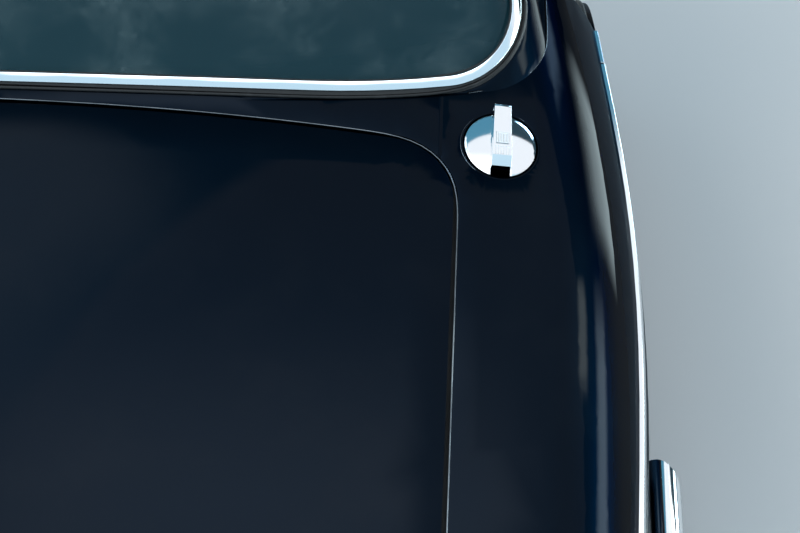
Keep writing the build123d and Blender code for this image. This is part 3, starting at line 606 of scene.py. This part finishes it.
def makeCowlJoint(lip):
    # the joint round the cabin's foot: where, going out from the seal, the deck comes to the top
    cabin = surfaceOf("roof_and_pillars")
    deck = surfaceOf("tonneau_panel", "wing_right", "wing_left")
    centre = windowAxes()[0]

    def outFrom(point):
        return Vector((point.x - centre.x, point.y - centre.y, 0)).normalized()

    found = []
    for point in lip + lip[:1]:         # the lip starts where the joint ends
        if point.x <= cowlJoint["inboard"] or point.y >= centre.y + cowlJoint["ahead"]:
            continue
        onCabin = False
        for j in range(int(cowlJoint["reach"] / cowlJoint["step"])):
            above = point + outFrom(point) * cowlJoint["step"] * j + Vector((0, 0, cowlJoint["above"]))
            upper, lower = landOn(cabin, above, down), landOn(deck, above, down)
            if upper and (not lower or upper[0].z >= lower[0].z):
                onCabin = True
            elif lower and onCabin:
                found.append(lower[0] + Vector((0, 0, cowlJoint["proud"])))
                break
    runs = [evened(run, rounds=cowlJoint["rounds"])
            for run in splitRuns(found, cowlJoint["longest"], cowlJoint["fewest"])]
    print("cowl joint:", [len(run) for run in runs])
    tubes("cowlJoint", runs + [mirrored(run) for run in runs],
          cowlJoint["radius"], shadowFinish, "rear_body")
    # a bead on the deck's edge beside the joint, finished as a painted highlight
    shift = cowlJoint["radius"] + cowlJoint["edge"] * 0.5
    rims = [[point + outFrom(point) * shift for point in run] for run in runs]
    tubes("deckEdgeHighlight", rims + [mirrored(run) for run in rims], cowlJoint["edge"], highlightFinish, "rear_body")


lidGap = {
    "probes": 260, "from": -50.0, "to": 230.0,      # degrees round the lid's middle
    "centreBack": 0.05, "nearest": 0.2, "furthest": 1.0, "halvings": 16, "above": 0.3,
    "step": 0.00025, "widest": 0.012, "level": 0.004, "lowest": 0.55,
    "radius": 0.0009, "set": 0.45, "sunk": 0.55,        # its middle past the panel's edge and down, in radii
    "rounds": 4,
}


def lidRim(centre):
    # points on the fixed panels' edge across the gap from the lid, as far as they lie level with it
    above = Vector((0, 0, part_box("boot_lid")[1].z + lidGap["above"]))
    lid = surfaceOf("boot_lid")
    skin = surfaceOf("tonneau_panel", "wing_right", "wing_left")
    rim = []
    for k in range(lidGap["probes"] + 1):
        angle = math.radians(lidGap["from"] + (lidGap["to"] - lidGap["from"]) * k / lidGap["probes"])
        away = Vector((math.cos(angle), math.sin(angle), 0))

        def hit(reach, surface=lid):
            return landOn(surface, centre + away * reach + above, down)

        reach = halved(hit, lidGap["nearest"], lidGap["furthest"], lidGap["halvings"])
        edge = hit(reach)
        for j in range(1, int(lidGap["widest"] / lidGap["step"])):
            spot = hit(reach + lidGap["step"] * j, skin)
            if not edge or not spot or spot[0].z <= lidGap["lowest"]:
                continue
            if abs(spot[0].z - edge[0].z) < lidGap["level"]:
                rim.append(spot)
                break
    return rim


def makeLidGapHighlight():
    # a bead on the fixed panels' edge at the lid gap, finished as a painted highlight
    low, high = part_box("boot_lid")
    centre = Vector(((low.x + high.x) / 2, (low.y + high.y) / 2 - lidGap["centreBack"], 0))
    rim = lidRim(centre)
    line = []
    for k, (place, normal) in enumerate(rim):
        along = (rim[min(k + 1, len(rim) - 1)][0] - rim[max(k - 1, 0)][0]).normalized()
        away = along.cross(normal)
        away *= -1 if away.dot(place - centre) < 0 else 1
        line.append(place + (away * lidGap["set"] - normal * lidGap["sunk"]) * lidGap["radius"])
    print("lid gap:", len(line))
    line = evened(line, rounds=lidGap["rounds"])
    tubes("turnedEdgeHighlight", [line], lidGap["radius"], highlightFinish, "rear_body", sides=12)


leadedJoint = {
    "x": 0.590, "half": 0.0034,         # how far out from the car's middle it lies, and half its width
    "rows": 60, "columns": 8,
    "lift": 0.00006, "sunk": 0.0003,        # its middle stands proud and its sides lie under the paint
    "short": 0.0016, "above": 0.1, "steepest": 0.004,
}


def makeLeadedJoints():
    # body solder, sprayed over, across the joints between the deck and the wings
    low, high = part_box("tonneau_panel")
    for side, hand in bothSides:
        skin = surfaceOf("tonneau_panel", "wing_" + hand.lower())
        bm = bmesh.new()
        rows = []
        for j in range(leadedJoint["rows"] + 1):
            y = low.y + leadedJoint["short"] + (high.y - low.y) * j / leadedJoint["rows"]
            row = []
            for k in range(leadedJoint["columns"] + 1):
                share = 2 * k / leadedJoint["columns"] - 1
                x = side * leadedJoint["x"] + share * leadedJoint["half"]
                spot = landOn(skin, (x, y, high.z + leadedJoint["above"]), down)
                if spot:
                    lift = leadedJoint["lift"] - leadedJoint["sunk"] * max(0.0, abs(share) - 0.5) ** 2 * 4
                    row.append(spot[0] + spot[1] * lift)
            heights = [point.z for point in row]
            whole = len(row) == leadedJoint["columns"] + 1
            if whole and max(heights) - min(heights) < leadedJoint["steepest"]:
                rows.append([bm.verts.new(point) for point in row])
        for first, second in zip(rows, rows[1:]):
            for k in range(len(first) - 1):
                face = bm.faces.new((first[k], first[k + 1], second[k + 1], second[k]))
                face.smooth = True
        print("leaded joint:", hand, len(rows))
        keepMesh("leadedJoint" + hand, bm, finishes["body_paint"], "rear_body")


bowlRim = {
    "probes": 90, "radius": 0.00045, "sunk": 0.3,       # sunk by this share of its radius
    "inside": 0.038, "outside": 0.062, "deepest": 0.02, "halvings": 12, "past": 0.0002,
    "above": 0.1,
}


def makeBowlRimHighlights():
    # the wings' turned edges round the filler bowls, as beads finished as a painted highlight
    rims = []
    for _, hand in bothSides:
        low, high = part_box("filler_cap_" + hand.lower())
        skin = surfaceOf("wing_" + hand.lower())
        centre = Vector(((low.x + high.x) / 2, (low.y + high.y) / 2, high.z + bowlRim["above"]))
        rim = []
        for k in range(bowlRim["probes"]):
            angle = 2 * math.pi * k / bowlRim["probes"]
            away = Vector((math.cos(angle), math.sin(angle), 0))

            def hit(reach):
                spot = landOn(skin, centre + away * reach, down)
                return spot if spot and spot[0].z > low.z - bowlRim["deepest"] else None

            reach = halved(hit, bowlRim["outside"], bowlRim["inside"], bowlRim["halvings"])
            spot = hit(reach + bowlRim["past"])
            if spot:
                sunk = Vector((0, 0, bowlRim["radius"] * bowlRim["sunk"]))
                rim.append(spot[0] + away * bowlRim["radius"] - sunk)
        rims.append(evened(rim, closed=True, rounds=1))
    print("bowl rims:", [len(rim) for rim in rims])
    tubes("bowlRimHighlights", rims, bowlRim["radius"], highlightFinish, "rear_body", closed=True)


endBoard = {
    "count": 48, "short": 0.004,        # rows along the car, and how far they stop short of the shelf's ends
    "below": 0.0055, "thick": 0.003, "overlap": 0.006, "clear": 0.001,
    "widest": 0.12, "narrowest": 0.004, "nearest": 0.30, "past": 0.02, "above": 0.9, "halvings": 12,
}


def makeShelfEnds():
    # cloth-covered boards that carry the parcel shelf out to the body's sides
    shelf = surfaceOf("parcel_shelf")
    low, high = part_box("parcel_shelf")
    top = high.z - endBoard["below"]
    bottom = top - endBoard["thick"]
    for side, hand in bothSides:
        body = surfaceOf("wing_" + hand.lower(), "roof_and_pillars")
        bm = bmesh.new()
        rows = []
        for k in range(endBoard["count"] + 1):
            y = low.y + endBoard["short"] + (high.y - low.y - 2 * endBoard["short"]) * k / endBoard["count"]

            def hit(reach):
                return landOn(shelf, (side * reach, y, endBoard["above"]), down)

            reach = halved(hit, endBoard["nearest"], high.x + endBoard["past"], endBoard["halvings"])
            if not hit(reach):
                continue
            start = (side * (reach - endBoard["past"]), y, top - endBoard["thick"] / 2)
            wall = landOn(body, start, (side, 0, 0))
            if not wall or abs(wall[0].x) - reach > endBoard["widest"]:
                continue
            inner, outer = reach - endBoard["overlap"], abs(wall[0].x) - endBoard["clear"]
            if outer - inner >= endBoard["narrowest"]:
                rows.append([bm.verts.new((side * x, y, z)) for x, z in
                             ((inner, top), (outer, top), (outer, bottom), (inner, bottom))])
        for first, second in zip(rows, rows[1:]):
            for k in range(4):
                bm.faces.new((first[k], first[(k + 1) % 4], second[(k + 1) % 4], second[k]))
        bm.faces.new(rows[0])
        bm.faces.new(rows[-1][::-1])
        print("shelf end:", hand, len(rows))
        keepMesh("shelfEnd" + hand, bm, finishes["shelf_cloth"], "rear_body")


doorSeal = {
    "radius": 0.0045, "inboard": 0.013, "proud": 0.001,
    "low": -0.03, "high": 1.02, "count": 150,
    "outside": 1.3, "ahead": 0.01, "step": 0.004, "rearmost": -0.1, "innermost": 0.45, "halvings": 6,
    "longest": 0.03, "fewest": 6, "rounds": 2,
}


def makeDoorSeals():
    # the rubber round each door opening, on the edge that the door closes against
    for side, hand in bothSides:
        skin = surfaceOf("wing_" + hand.lower(), "roof_and_pillars")
        line = []
        for k in range(doorSeal["count"]):
            z = doorSeal["low"] + (doorSeal["high"] - doorSeal["low"]) * k / (doorSeal["count"] - 1)

            def hit(y):
                return landOn(skin, (side * doorSeal["outside"], y, z), (-side, 0, 0))

            y, spot = cadBox[1].y + doorSeal["ahead"], None
            while y > doorSeal["rearmost"] and not spot:
                y -= doorSeal["step"]
                spot = hit(y)
                if spot and abs(spot[0].x) < doorSeal["innermost"]:
                    spot = None
            if spot:
                edge = halved(hit, y, y + doorSeal["step"], doorSeal["halvings"])
                line.append(Vector((spot[0].x - side * doorSeal["inboard"], edge + doorSeal["proud"], z)))
        lines = [evened(run, rounds=doorSeal["rounds"])
                 for run in splitRuns(line, doorSeal["longest"], doorSeal["fewest"])]
        print("door seal:", hand, [len(run) for run in lines])
        tubes("doorSeal" + hand, lines, doorSeal["radius"], finishes["rubber_seal"], "rear_body")


headForms = {
    # (radius, height) from the rim in, as shares of the radius
    "dome": [(1, 0), (0.98, 0.18), (0.80, 0.42), (0.50, 0.58), (0.20, 0.62)],
    "hex": [(1, 0), (1, 0.55), (0.92, 0.68), (0.55, 0.70)],
    "washer": [(1.45, 0), (1.45, 0.10), (1.30, 0.16), (0.9, 0.18)],
    "plug": [(1, 0), (1, 0.08), (0.86, 0.18), (0.60, 0.18), (0.54, 0.09), (0.10, 0.08)],
    "stud": [(1, 0), (0.96, 0.16), (0.70, 0.30), (0.15, 0.32)],
    "lock": [(1, 0), (1, 0.30), (0.92, 0.38), (0.74, 0.38),
             (0.70, 0.20), (0.62, 0.20), (0.58, 0.46), (0.10, 0.48)],
    "lens": [(1, 0), (0.96, 0.25), (0.70, 0.38), (0.30, 0.38), (0.22, 0.16)],
}


def scaled(form, radius):
    return [(r * radius, h * radius) for r, h in headForms[form]]


def bolted(name, spots, radius, body):
    # a hexagon head on its washer
    turned(name + "Washers", scaled("washer", radius), spots, finishes["plated_steel"], body)
    lift = headForms["washer"][2][1]
    heads = [(place + normal * radius * lift, normal) for place, normal in spots]
    turned(name + "Heads", scaled("hex", radius), heads, finishes["plated_steel"], body, sides=6)


def onBothSides(starts):
    return [(side * x, y, z) for side in (1, -1) for x, y, z in starts]


fastenings = {
    "behind": 0.2, "beside": 1.3,       # where they are looked for from
    # radii
    "plateScrew": 0.006, "lock": 0.012, "lensScrew": 0.0038, "bumperBolt": 0.011,
    "plug": 0.017, "stud": 0.010, "bracketBolt": 0.009,
    # places
    "plateInset": 0.045, "lensInset": 0.061, "lensEnd": 0.010,
    "bumperCentreX": 0.30, "bumperEndX": 0.66, "bumperSideY": -0.60,
    "plugs": [(0.38, -0.12, 0.4), (0.42, -0.90, 0.4), (0.10, -0.72, 0.4)],
    "studY": (-0.93, -0.72, -0.50, -0.20), "studZ": (0.14, 0.42),
    "brackets": [(0.45, -0.99, -0.3), (0.45, -0.93, -0.3)],
}


def makeFastenings():
    # from behind: the plate, the lock, the lamps and the bumper
    behind, beside = cadBox[0].y - fastenings["behind"], fastenings["beside"]
    low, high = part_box("number_plate")
    level = (low.z + high.z) / 2
    turned("plateScrews", scaled("dome", fastenings["plateScrew"]),
           spotsOn(surfaceOf("number_plate"),
                   onBothSides([(high.x - fastenings["plateInset"], behind, level)]), (0, 1, 0)),
           finishes["plated_steel"], "boot_lid_body")
    low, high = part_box("lid_plinth")
    turned("lidLock", scaled("lock", fastenings["lock"]),
           spotsOn(surfaceOf("lid_plinth"), [(0, behind, (low.z + high.z) / 2)], (0, 1, 0)),
           finishes["bright_trim"], "boot_lid_body", sides=36)
    low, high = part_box("lamp_lenses")
    across, end = high.x - fastenings["lensInset"], fastenings["lensEnd"]
    turned("lensScrews", scaled("lens", fastenings["lensScrew"]),
           spotsOn(surfaceOf("lamp_lenses"),
                   onBothSides([(across, behind, low.z + end), (across, behind, high.z - end)]), (0, 1, 0)),
           finishes["plated_steel"], "rear_body")
    low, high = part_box("bumper_centre")
    level = (low.z + high.z) / 2
    turned("bumperBoltsCentre", scaled("dome", fastenings["bumperBolt"]),
           spotsOn(surfaceOf("bumper_centre"),
                   onBothSides([(fastenings["bumperCentreX"], behind, level)]), (0, 1, 0)),
           finishes["bright_trim"], "rear_body")
    for side, hand in bothSides:
        corner = surfaceOf("bumper_corner_" + hand.lower())
        turned("bumperBolts" + hand, scaled("dome", fastenings["bumperBolt"]),
               spotsOn(corner, [(side * fastenings["bumperEndX"], behind, level)], (0, 1, 0))
               + spotsOn(corner, [(side * beside, fastenings["bumperSideY"], level)], (-side, 0, 0)),
               finishes["bright_trim"], "rear_body")
    # inside the boot
    turned("floorPlugs", scaled("plug", fastenings["plug"]),
           spotsOn(surfaceOf("boot_floor"), onBothSides(fastenings["plugs"]), down),
           finishes["rubber_seal"], "rear_body")
    studs = [(0, y, z) for y in fastenings["studY"] for z in fastenings["studZ"]]
    for side, hand in bothSides:
        turned("trimStuds" + hand, scaled("stud", fastenings["stud"]),
               spotsOn(surfaceOf("boot_side_trims"), studs, (side, 0, 0)),
               finishes["rubber_seal"], "rear_body")
    # below
    bolted("bracketBolts", spotsOn(surfaceOf("chassis_rails"), onBothSides(fastenings["brackets"]), -down),
           fastenings["bracketBolt"], "rear_body")


shadowFinish = makeShadowLine()
highlightFinish = makeHighlightEdge()
makeCowlJoint(makeWindowRubber())
makeLidGapHighlight()
makeLeadedJoints()
makeBowlRimHighlights()
makeShelfEnds()
makeDoorSeals()
makeFastenings()
print("rubber, joints and fastenings")


studio = {
    "floor": (0.80, 0.78, 0.76),
    "floorSize": 120.0, "floorGap": 0.0005,
    "overhead": (0.94, 0.98, 1.04),     # the bright ceiling above and ahead
    "dusk": (0.57, 0.79, 0.94),         # the walls behind
    "teal": (0.085, 0.27, 0.40),        # the wall ahead
    "deepTeal": (0.026, 0.055, 0.075),  # its right half
    "seen": (0.56, 0.62, 0.67),         # what the camera sees above the floor
}


def makeFloor():
    low = cadBox[0].z - studio["floorGap"]
    half = studio["floorSize"] / 2
    mesh = bpy.data.meshes.new("floor")
    mesh.from_pydata([(-half, -half, low), (half, -half, low), (half, half, low), (-half, half, low)],
                     [], [(0, 1, 2, 3)])
    floor = bpy.data.objects.new("floor", mesh)
    bpy.context.scene.collection.objects.link(floor)
    finish, shader, surface = newFinish("paleFloor", **{
        "Base Color": studio["floor"], "Roughness": 0.9, "Specular IOR Level": 0.0})
    feed(shader, surface, roughness=0.85 + shader.noise(30.0) * 0.1)
    mesh.materials.append(finish)


def makeSky():
    world = bpy.data.worlds.new("softStudio")
    bpy.context.scene.world = world
    world.use_nodes = True
    shader = Shader(world.node_tree)
    toward = shader.node("ShaderNodeTexCoord", None, None, output="Generated")
    up, ahead, right = (shader.axis(letter, toward) for letter in "ZYX")
    ceiling = shader.span(up + right * 0.36 - ahead * 0.1, 0.785, 0.806)
    front = shader.span(ahead + right * 0.25, 0.05, 0.40)
    behind = shader.span(ahead, 0.0, -0.20) * shader.span(up, 0.97, 0.90)
    wall = shader.mix(shader.span(right, 0.12, 0.30), studio["teal"], studio["deepTeal"])
    walls = shader.mix(front, studio["dusk"], wall)
    colour = shader.mix(ceiling * (1.0 - behind), walls, studio["overhead"])
    seen = shader.node("ShaderNodeLightPath", None, None, output="Is Camera Ray")
    colour = shader.mix(seen, colour, studio["seen"])
    light = shader.node("ShaderNodeBackground", None, {"Color": colour, "Strength": 1.0})
    shader.node("ShaderNodeOutputWorld", None, {"Surface": light})


def hang(name, data, place, aim):
    # links an object and turns it to face what it is aimed at
    hung = bpy.data.objects.new(name, data)
    bpy.context.scene.collection.objects.link(hung)
    hung.location = place
    hung.rotation_mode = "QUATERNION"
    hung.rotation_quaternion = (Vector(aim) - Vector(place)).to_track_quat("-Z", "Y")
    return hung


ceilingBox = {"place": (-3.2, -1.6, 4.6), "aim": (0, -0.3, 0.4), "size": 3.0, "watts": 150,
              "colour": (1.0, 0.93, 0.86)}


def makeCeilingBox():
    # the one lamp, which polished surfaces don't mirror
    data = bpy.data.lights.new("ceilingBox", "AREA")
    data.size = ceilingBox["size"]
    data.energy, data.color = ceilingBox["watts"], ceilingBox["colour"]
    hang("ceilingBox", data, ceilingBox["place"], ceilingBox["aim"]).visible_glossy = False


photoView = {
    "place": (0.5786, -1.0642, 1.6688),
    "yaw": -2.944, "pitch": 59.373, "roll": -0.832,   # degrees
    "lens": 46.867, "sensor": 36,
}


def makeCamera():
    yaw, pitch, roll = (math.radians(photoView[k]) for k in ("yaw", "pitch", "roll"))
    ahead = Vector((math.sin(yaw) * math.cos(pitch), math.cos(yaw) * math.cos(pitch), -math.sin(pitch)))
    level = Vector((math.cos(yaw), -math.sin(yaw), 0))
    upright = level.cross(ahead)
    right = level * math.cos(roll) + upright * math.sin(roll)
    up = upright * math.cos(roll) - level * math.sin(roll)
    data = bpy.data.cameras.new("photoCamera")
    data.sensor_width, data.lens = photoView["sensor"], photoView["lens"]
    camera = bpy.data.objects.new("photoCamera", data)
    bpy.context.scene.collection.objects.link(camera)
    turn = Matrix((right, up, -ahead)).transposed()
    camera.matrix_world = Matrix.Translation(photoView["place"]) @ turn.to_4x4()
    bpy.context.scene.camera = camera


reflectors = [
    # soft panels that only polished surfaces see: name, place, aimed at, size, light
    ("overPanel", (0.0, -0.8, 5.8), (0.0, -0.8, 0), (5.6, 4.6), (2.8, 3.0, 3.2)),
    ("leftPanel", (-2.0, 1.5, 4.7), (0.1, -0.6, 0.65), (3.4, 3.2), (2.0, 2.35, 2.6)),
    ("rightStrip", (1.7, 0.49, 0.15), (0.0, 0.49, 0.15), (0.84, 1.4), (11.5, 14.5, 15.5)),
    ("leftStrip", (-1.7, 0.49, 0.15), (0.0, 0.49, 0.15), (0.84, 1.4), (11.5, 14.5, 15.5)),
    ("rightRail", (2.2, -0.45, 0.72), (0.0, -0.45, 0.72), (1.5, 0.6), (9.5, 12.0, 13.0)),
    ("leftRail", (-2.2, -0.45, 0.72), (0.0, -0.45, 0.72), (1.5, 0.6), (9.5, 12.0, 13.0)),
    ("frontPanel", (2.34, 2.07, 1.87), (0.73, -0.15, 0.65), (1.2, 1.16), (5.0, 8.0, 11.0)),
    ("pillarPanel", (1.76, -0.10, 1.25), (0.68, -0.15, 0.68), (0.4, 0.36), (9.0, 10.0, 9.5)),
    ("mouldingPanel", (2.22, 2.86, 5.53), (0.84, -0.1, 0.5), (2.0, 1.7), (1.0, 1.1, 1.15)),
    ("tailPanel", (0.0, -2.3, 0.25), (0.0, -1.0, 0.25), (2.6, 0.9), (4.0, 4.3, 4.6)),
]


def makeReflector(name, place, aim, size, light):
    wide, tall = size[0] / 2, size[1] / 2
    mesh = bpy.data.meshes.new(name)
    mesh.from_pydata([(-wide, -tall, 0), (wide, -tall, 0), (wide, tall, 0), (-wide, tall, 0)],
                     [], [(0, 1, 2, 3)])
    panel = hang(name, mesh, place, aim)
    finish = bpy.data.materials.new(name)
    finish.use_nodes = True
    shader = Shader(finish.node_tree)
    across = abs(shader.axis("X")) / wide
    up = abs(shader.axis("Y")) / tall
    mask = shader.span(across, 1.0, 0.45) * shader.span(up, 1.0, 0.25)
    clear = shader.node("ShaderNodeBsdfTransparent")
    bright = shader.node("ShaderNodeEmission", None,
                         {"Color": [part / max(light) for part in light], "Strength": max(light)})
    surface = shader.node("ShaderNodeMixShader", None, {0: mask, 1: clear, 2: bright})
    shader.node("ShaderNodeOutputMaterial", None, {"Surface": surface})
    mesh.materials.append(finish)
    panel.visible_camera = panel.visible_diffuse = panel.visible_shadow = False
    panel.visible_transmission = panel.visible_volume_scatter = False


makeFloor()
makeSky()
for panel in reflectors:
    makeReflector(*panel)
makeCeilingBox()
makeCamera()
bpy.context.scene.view_settings.view_transform = "Standard"
print("stage, light and camera")
